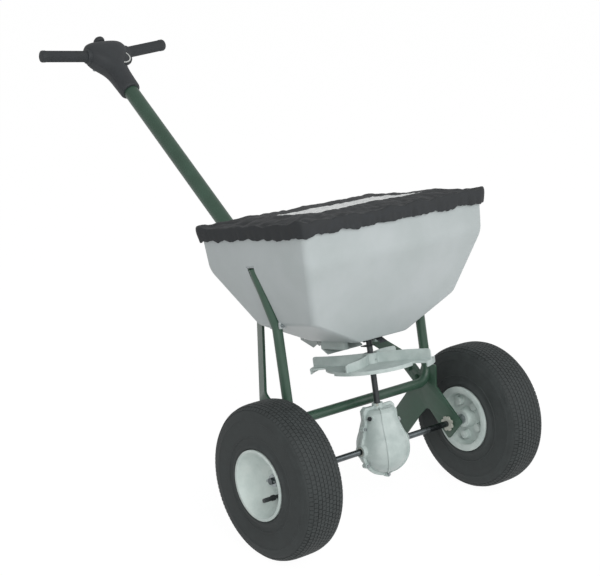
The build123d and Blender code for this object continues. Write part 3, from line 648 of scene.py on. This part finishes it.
def lofted(rings):
    """A filled circle extruded from ring to ring, each ring set to its own outline."""
    obj = primitive("circle", vertices=len(rings[0]), radius=1, fill_type="NGON")
    with editing(obj):
        bpy.ops.mesh.select_all(action="SELECT")
        last = [v.co.copy() for v in bmesh.from_edit_mesh(obj.data).verts]
        for number, ring in enumerate(rings):
            if number:
                bpy.ops.mesh.extrude_region_move()
            mesh = bmesh.from_edit_mesh(obj.data)
            for vert in [v for v in mesh.verts if v.select]:
                nearest = min(range(len(last)), key=lambda n: (last[n] - vert.co).length_squared)
                vert.co = ring[nearest]
            bmesh.update_edit_mesh(obj.data)
            last = [Vector(place) for place in ring]
        bpy.ops.mesh.select_all(action="SELECT")
        bpy.ops.mesh.normals_make_consistent(inside=False)
    return obj


def along_grip(side, reach):
    """A point on a grip's axis."""
    turn = radians(GRIP_SWEEP)
    return Vector(GRIP_AT) + Vector((side * cos(turn), sin(turn), 0)) * reach


def pod_block():
    """The whole handle body with its grip sockets, screw holes, dial slot and the knob's bore."""
    rings = []
    for u, half, thick, lift, power in POD:
        angles = [2 * pi * n / 40 for n in range(40)]
        rings.append([(half * bowed(cos(a), power), u, lift + thick * bowed(sin(a), power))
                      for a in angles])
    obj = lofted(rings)
    modify(obj, "SUBSURF", levels=2, render_levels=2)
    for side in (-1, 1):
        turn = (0, pi / 2, side * radians(GRIP_SWEEP))
        socket = cylinder(SOCKET_R, SOCKET_L, along_grip(side, SOCKET_AT), turn, 48)
        modify(socket, "BEVEL", width=1.8, segments=3, limit_method="ANGLE")
        cut(obj, socket, operation="UNION")
    cut(obj, *[cylinder(4.2, 60, (x, u, -50)) for x, u in SCREWS])
    rod_bore = cylinder(ROD_BORE_R, 60, (0, 1190, KNOB_V), (pi / 2, 0, 0))
    dial_slot = cylinder(DIAL_SLOT_R, 8, DIAL_AT, sides=64)
    cut(obj, rod_bore, dial_slot)
    return obj


def housing():
    """Two moulded shells, parted along the seam between them."""
    whole = pod_block()
    for name, up in (("upper", 1), ("lower", -1)):
        half = linked(name, whole.data.copy())
        with editing(half):
            bpy.ops.mesh.select_all(action="SELECT")
            bpy.ops.mesh.bisect(plane_co=(0, 0, SEAM_V + up * SEAM / 2), plane_no=(0, 0, up),
                                use_fill=True, clear_inner=True)
        finished(half, f"handle_shell_{name}", BLACK_ABS, "frame", f"housing_{name}", matrix=HANDLE,
                 smooth=40)
    bpy.data.objects.remove(whole)


def grip(side):
    """Rubber sleeve: a flange at the handle body, fine flutes and a smooth rounded end."""
    rings = []
    for x, radius, flute in SLEEVE:
        ring = []
        for n in range(SLEEVE_SIDES):
            angle = 2 * pi * n / SLEEVE_SIDES
            reach = radius - flute * (n % 4 > 1)
            ring.append((x, cos(angle) * reach, sin(angle) * reach))
        rings.append(ring)
    turn = radians(GRIP_SWEEP) if side > 0 else pi - radians(GRIP_SWEEP)
    matrix = HANDLE @ Matrix.Translation(GRIP_AT) @ Matrix.Rotation(turn, 4, "Z")
    return lofted(rings), matrix


def knob():
    """Mushroom knob on the end of the control rod, turned from its section."""
    section = [(1186, 0), (1186, 5.6), (1186.4, 6), (1196, 6), (1197.4, 7.6), (1198.4, 10.8),
               (1200, 13.2), (1202.6, 14.6), (1206, 14.9), (1209.2, 13.9), (1211.8, 11.4),
               (1213.4, 8), (1214.2, 4), (1214.4, 0)]
    matrix = HANDLE @ Matrix.Translation((0, 0, KNOB_V)) @ Matrix.Rotation(pi / 2, 4, "Z")
    finished(spun(section, 48), "pull_knob", BLACK_ABS, "control", "flow_knob", matrix=matrix)


def thumb_wheel():
    """Dark wheel with a pale ring let into its face."""
    softened("rate_dial", "dial", 0.5)
    scale = spun([(3.3, 20.6), (3.9, 20.6), (3.9, 23.4), (3.3, 24.2), (3.3, 20.6)], 72)
    matrix = HANDLE @ Matrix.Translation(DIAL_AT) @ Matrix.Rotation(-pi / 2, 4, "Y")
    finished(scale, "dial_scale", DIAL_ABS, "dial", matrix=matrix)


def handle():
    """The handle body with its sleeves, knob and thumb wheel."""
    housing()
    for side, name in ((-1, "left"), (1, "right")):
        obj, matrix = grip(side)
        finished(obj, f"grip_sleeve_{name}", GRIP_RUBBER, "frame", f"grip_{name}", matrix=matrix)
    knob()
    thumb_wheel()


# ---------------------------------------------------------------- cover

RIM = (251.0, -143.0, 212.0, 13.0)      # hopper rim: half width, front, back, corner
WINDOW = (150.0, -70.0, 95.0, 0.0)
CELLS = (72, 40)                        # of cloth across the window
LIP, FLAT = 515.5, 516.7                # heights of the lip and of the cloth laid flat over it
TOP_RINGS = 11                          # of cloth from the window to the lip
# outside the top: growth past the rim, height over the lip
SKIRT = ((5.2, 0.6), (7.0, -1.2), (7.9, -4.5), (8.2, -8.5), (8.1, -12), (7.6, -16), (6.9, -20),
         (6.2, -24), (5.6, -27), (4.8, -28.6), (3.6, -28.8), (2.6, -27), (2.4, -23))
SETTLE_FRAMES, GRAVITY_SHARE = 24, 0.1
CLOTH = {"quality": 8, "mass": 0.15, "tension_stiffness": 60, "compression_stiffness": 40,
         "bending_stiffness": 0.6}
HELD, EASE = 3, 18                      # width held by the lip, and over which the cloth gets loose
TOP_RISE = 10.0                         # of the flat cloth and the film over the lip
LIP_RISE, HEM_RISE = 4.0, 3.5           # by the elastic
BUNCH, BUNCH_FADE = 9, 60               # width that bunches with the lip, and over which its bumps fade
CORNER_FADE = 60                        # over which a corner's bunching fades
INNER = 80                              # inset from which the top counts as flat
CORE = (200, -95, 165)                  # half, front and back of the part the skirt points away from


def round_spot(n, plan):
    """Point n round a rectangle with rounded corners, spaced like the window's cells."""
    half, front, back, corner = plan
    across, deep = CELLS
    n %= 2 * (across + deep)
    if n < across:
        x, y = -half + 2 * half * n / across, front
    elif n < across + deep:
        x, y = half, front + (back - front) * (n - across) / deep
    elif n < 2 * across + deep:
        x, y = half - 2 * half * (n - across - deep) / across, back
    else:
        x, y = -half, back - (back - front) * (n - 2 * across - deep) / deep
    core_x = clamp(x, -half + corner, half - corner)
    core_y = clamp(y, front + corner, back - corner)
    off = Vector((x - core_x, y - core_y))
    if off.length > corner:
        off = off.normalized() * corner
    return core_x + off.x, core_y + off.y


def grown(plan, amount):
    """A rectangle with rounded corners made larger all round."""
    half, front, back, corner = plan
    return half + amount, front - amount, back + amount, corner + 0.7 * amount


def cover_rings():
    """Rings of the cover from the window's edge over the lip to the hem that is turned under."""
    for n in range(1, TOP_RINGS):
        share = n / TOP_RINGS
        plan = [a + (b - a) * share for a, b in zip(WINDOW, grown(RIM, 4))]
        yield plan, FLAT
    for grow, drop in SKIRT:
        yield grown(RIM, grow), LIP + drop


def cover_mesh():
    """Cloth and window as one net of quads; the window's cells have the second material."""
    mesh = bmesh.new()
    across, deep = CELLS
    half, front, back, _ = WINDOW
    grid = [[mesh.verts.new((-half + 2 * half * i / across, front + (back - front) * j / deep, FLAT))
             for i in range(across + 1)] for j in range(deep + 1)]
    for j in range(deep):
        for i in range(across):
            face = mesh.faces.new((grid[j][i], grid[j][i + 1], grid[j + 1][i + 1], grid[j + 1][i]))
            face.material_index = 1
    inner = [grid[0][i] for i in range(across)] + [grid[j][across] for j in range(deep)]
    inner += [grid[deep][across - i] for i in range(across)] + [grid[deep - j][0] for j in range(deep)]
    count = len(inner)
    for plan, height in cover_rings():
        outer = [mesh.verts.new((*round_spot(n, plan), height)) for n in range(count)]
        for n in range(count):
            mesh.faces.new((inner[n], outer[n], outer[(n + 1) % count], inner[(n + 1) % count]))
        inner = outer
    obj = linked("cover", bpy.data.meshes.new("cover"))
    mesh.to_mesh(obj.data)
    mesh.free()
    return obj


def inset_of(place):
    """How far inside the rim's outline a point lies, in mm."""
    half, front, back, _ = RIM
    return min(half - abs(place.x), place.y - front, back - place.y)


def relax(obj):
    """Let the slack cloth settle under its own weight, held along the lip."""
    held = obj.vertex_groups.new(name="held")
    for vert in obj.data.vertices:
        vert.co *= MM
        held.add([vert.index], 1.0 if inset_of(vert.co / MM) < HELD else 0.0, "REPLACE")
    alone(obj)
    cloth = obj.modifiers.new("cloth", "CLOTH")
    cloth.settings.vertex_group_mass = "held"
    for name, value in CLOTH.items():
        setattr(cloth.settings, name, value)
    cloth.settings.effector_weights.gravity = GRAVITY_SHARE
    cloth.collision_settings.use_self_collision = False
    cloth.point_cache.frame_start, cloth.point_cache.frame_end = 1, SETTLE_FRAMES
    for number in range(1, SETTLE_FRAMES + 1):
        bpy.context.scene.frame_set(number)
    bpy.ops.object.modifier_apply(modifier=cloth.name)
    bpy.context.scene.frame_set(1)
    for vert in obj.data.vertices:
        vert.co /= MM


def swell(place, size, layer):
    """Soft noise of a size in mm, the same on every run; each layer is another stretch of it."""
    return noise.noise(Vector((place.x / size, place.y / size, place.z / size + layer)))


def slacken(obj):
    """Spare cloth before it settles."""
    for vert in obj.data.vertices:
        free = clamp((inset_of(vert.co) - HELD) / EASE)
        vert.co.z += free * (5 + 5 * swell(vert.co, 46, 3) + 3 * swell(vert.co, 19, 9))


def near_corner(place):
    """One at a corner of the rim, fading to nought away from it."""
    half, front, back, _ = RIM
    off = hypot(half - abs(place.x), min(abs(place.y - front), abs(back - place.y)))
    return max(0.0, 1 - off / CORNER_FADE) ** 1.5


def top_creases(place, plan, bumps, lift):
    """Rise of a point of the flat top: bumps that fade from the lip, and creases, sharper in the film."""
    calm = max(0.0, 1 - (inset_of(place) - BUNCH) / BUNCH_FADE)
    on_film = abs(place.x) < WINDOW[0] and WINDOW[1] < place.y < WINDOW[2]
    crease = (2.6 if on_film else 1.2) * swell(plan, 15, 31) + 1.0 * on_film * swell(plan, 7, 33)
    return crease + calm * (LIP_RISE + bumps) + (1 - calm) * lift


def gather(obj):
    """Puckers of the elastic hem, a lip that bunches up and isn't even, and creases in the flat top.

    The number before each swell is the height of its waves in mm, the first one inside it their width.
    """
    inner = [v.co.z for v in obj.data.vertices if inset_of(v.co) > INNER]
    lift = LIP + TOP_RISE - sum(inner) / len(inner)
    half, front, back = CORE
    for vert in obj.data.vertices:
        place = vert.co.copy()
        plan = Vector((place.x, place.y, 0))
        bumps = 6.5 * swell(plan, 36, 21) + 2.4 * swell(plan, 14, 22)
        if inset_of(place) > BUNCH:
            vert.co.z += top_creases(place, plan, bumps, lift)
            continue
        out = (plan - Vector((clamp(place.x, -half, half), clamp(place.y, front, back), 0))).normalized()
        down = clamp((LIP - 3 - place.z) / 24)
        bunch = near_corner(place)
        pucker = swell(plan, 11, 5) + 0.5 * swell(plan, 6, 7)
        push = 0.6 + down * 3.0 * pucker + 2.0 * swell(plan, 38, 2) + 3.2 * bunch * (1 - 0.6 * down)
        vert.co += out * push
        vert.co.z += down * (HEM_RISE + 5.5 * swell(plan, 26, 11) + 2.8 * swell(plan, 9, 13))
        vert.co.z += (1 - down) * (LIP_RISE + bumps + 4.0 * bunch)


def cover():
    """Elasticated cloth cover with a clear film window, settled by a short cloth simulation."""
    obj = cover_mesh()
    obj.data.materials.append(COVER_NYLON)
    obj.data.materials.append(FILM)
    slacken(obj)
    relax(obj)
    modify(obj, "SUBSURF", levels=1, render_levels=1)
    gather(obj)
    with editing(obj):
        bpy.ops.mesh.select_all(action="SELECT")
        bpy.ops.mesh.separate(type="MATERIAL")
    film = next(o for o in bpy.context.selected_objects if o is not obj)
    if obj.data.polygons[0].material_index == 1:
        obj, film = film, obj
    for piece, thick in ((obj, 0.9), (film, 0.5)):
        modify(piece, "SOLIDIFY", thickness=thick, offset=0)
    finished(obj, "cover_cloth", COVER_NYLON, "cover", "hopper_cover", matrix=MACHINE, smooth=60)
    finished(film, "cover_film", FILM, "cover", "cover_window", matrix=MACHINE, smooth=60)


# ---------------------------------------------------------------- spinner

SPINNER_Z, SPINNER_R, HUB_R = 178.0, 137.0, 15.5
FIN_H, FIN_T = 22.0, 3.0
UPPER_Z = SPINNER_Z + 10                # what lies over this is the upper edge of a fin
BITE_R, BITE = 101.0, (131, 288)        # edge between the long fins, and the degrees that it spans
FIN_CLEAR = 30                          # degrees at each end of the bite that are left to a long fin
LIP_FROM, LIP_T = 175, 2.5              # degrees from which the edge has a lip, and how thick it is
SHORT_FIN, SHORT_REACH = 17, 103        # degrees and reach of a short fin, the other is half a turn on
FIN_ROOT, FIN_BOW, FIN_DROP = 12, 9, 4.5    # inner end, bow sideways, fall of the top towards the tip


def ring_sector(inner, outer, low, high, start, end):
    """Part of a ring round the shaft, between two angles in degrees."""
    obj = spun([(low, inner), (high, inner), (high, outer), (low, outer), (low, inner)], 144)
    placed(obj, Matrix.Rotation(-pi / 2, 4, "Y"))
    for angle, way in ((radians(start), 1), (radians(end), -1)):
        with editing(obj):
            bpy.ops.mesh.select_all(action="SELECT")
            bpy.ops.mesh.bisect(plane_co=(0, 0, 0), plane_no=(-way * sin(angle), way * cos(angle), 0),
                                use_fill=True, clear_inner=True)
    return obj


def at_tip(edge):
    """The outer edge at a short fin's top."""
    return all(v.co.x > SHORT_REACH - 1 and v.co.z > UPPER_Z for v in edge.verts)


def short_fin(turn):
    """A fin that bows a little on its way out from the hub, with a rounded outer corner."""
    length = SHORT_REACH - FIN_ROOT
    obj = block((length, FIN_T, FIN_H), (FIN_ROOT + length / 2, 0, SPINNER_Z + 3.5 + FIN_H / 2))
    with editing(obj):
        pick(obj, "EDGE", at_tip)
        bpy.ops.mesh.bevel(offset=6, segments=4, affect="EDGES")
        for reach in (30, 45, 60, 75, 90):
            bpy.ops.mesh.select_all(action="SELECT")
            bpy.ops.mesh.bisect(plane_co=(reach, 0, 0), plane_no=(1, 0, 0))
    for vert in obj.data.vertices:
        share = (vert.co.x - FIN_ROOT) / length
        vert.co.y += FIN_BOW * sin(pi * share)
        if vert.co.z > UPPER_Z:
            vert.co.z -= FIN_DROP * share
    placed(obj, Matrix.Rotation(radians(turn), 4, "Z"))
    return obj


def impeller():
    """Disc with two long and two short fins; between the long ones its edge runs further in."""
    obj = merged_copy("impeller")
    placed(obj, MACHINE.inverted())
    top = SPINNER_Z + 4.2
    beyond = SPINNER_R + 9
    for half_turn in (0, 180):
        start, end = (angle + half_turn for angle in BITE)
        cut(obj, ring_sector(HUB_R, beyond, top, top + 40, start + FIN_CLEAR, end - FIN_CLEAR))
        cut(obj, ring_sector(BITE_R, beyond, SPINNER_Z - 20, top + 50, start, end))
    for half_turn in (0, 180):
        lip = ring_sector(BITE_R + 0.1 - LIP_T, BITE_R + 0.1, SPINNER_Z - 4, SPINNER_Z + 3.9,
                          LIP_FROM + half_turn, BITE[1] + half_turn - 0.5)
        cut(obj, lip, short_fin(SHORT_FIN + half_turn), operation="UNION")
    rounded(obj, 0.8)
    finished(obj, "impeller_soft", NYLON, "spinner", "impeller", matrix=MACHINE)


# ---------------------------------------------------------------- frame and drive parts

BRACKET = ((-26, 241.5), (-49, 230), (-2, 219), (18, 219))      # the folds in Y and Z
BRACKET_HALF, BRACKET_T, BRACKET_HOLE = 10, 1.8, 8              # half width, thickness, hole's radius
# node, width of its rounded edges
ROUNDED = (("gearbox_front", 1.3), ("gearbox_back", 1.3), ("gate_guide", 0.9), ("side_plate_left", 0.7),
           ("side_plate_right", 0.7), ("stand_foot_left", 2.0), ("stand_foot_right", 2.0))


def shaft_bracket():
    """Black strip folded back under the hopper floor, with a hole and a washer round the shaft."""
    obj = traced([Vector((-BRACKET_HALF, y, z)) for y, z in BRACKET])
    with editing(obj):
        bpy.ops.mesh.select_all(action="SELECT")
        bpy.ops.mesh.extrude_edges_move(TRANSFORM_OT_translate={"value": (2 * BRACKET_HALF, 0, 0)})
    modify(obj, "SOLIDIFY", thickness=BRACKET_T, offset=0)
    with editing(obj):
        bpy.ops.mesh.select_all(action="SELECT")
        bpy.ops.mesh.normals_make_consistent(inside=False)
    cut(obj, cylinder(BRACKET_HOLE, 40, (0, 0, 220)))
    cut(obj, ring_sector(BRACKET_HOLE, 13.5, 229, 231.5, 0, 179.9), operation="UNION")
    rounded(obj, 0.4)
    finished(obj, "shaft_bracket", BLACK_ABS, "frame", matrix=MACHINE)


def moulded_parts():
    """Drive and frame parts with the round edges of moulding, casting or grinding."""
    for node, width in ROUNDED:
        softened(node, "frame", width)


# ---------------------------------------------------------------- the whole machine

dress_nodes()
camera()
stage()
wheels()
hopper()
handle()
cover()
impeller()
shaft_bracket()
moulded_parts()
bpy.context.scene.view_settings.view_transform = "Standard"
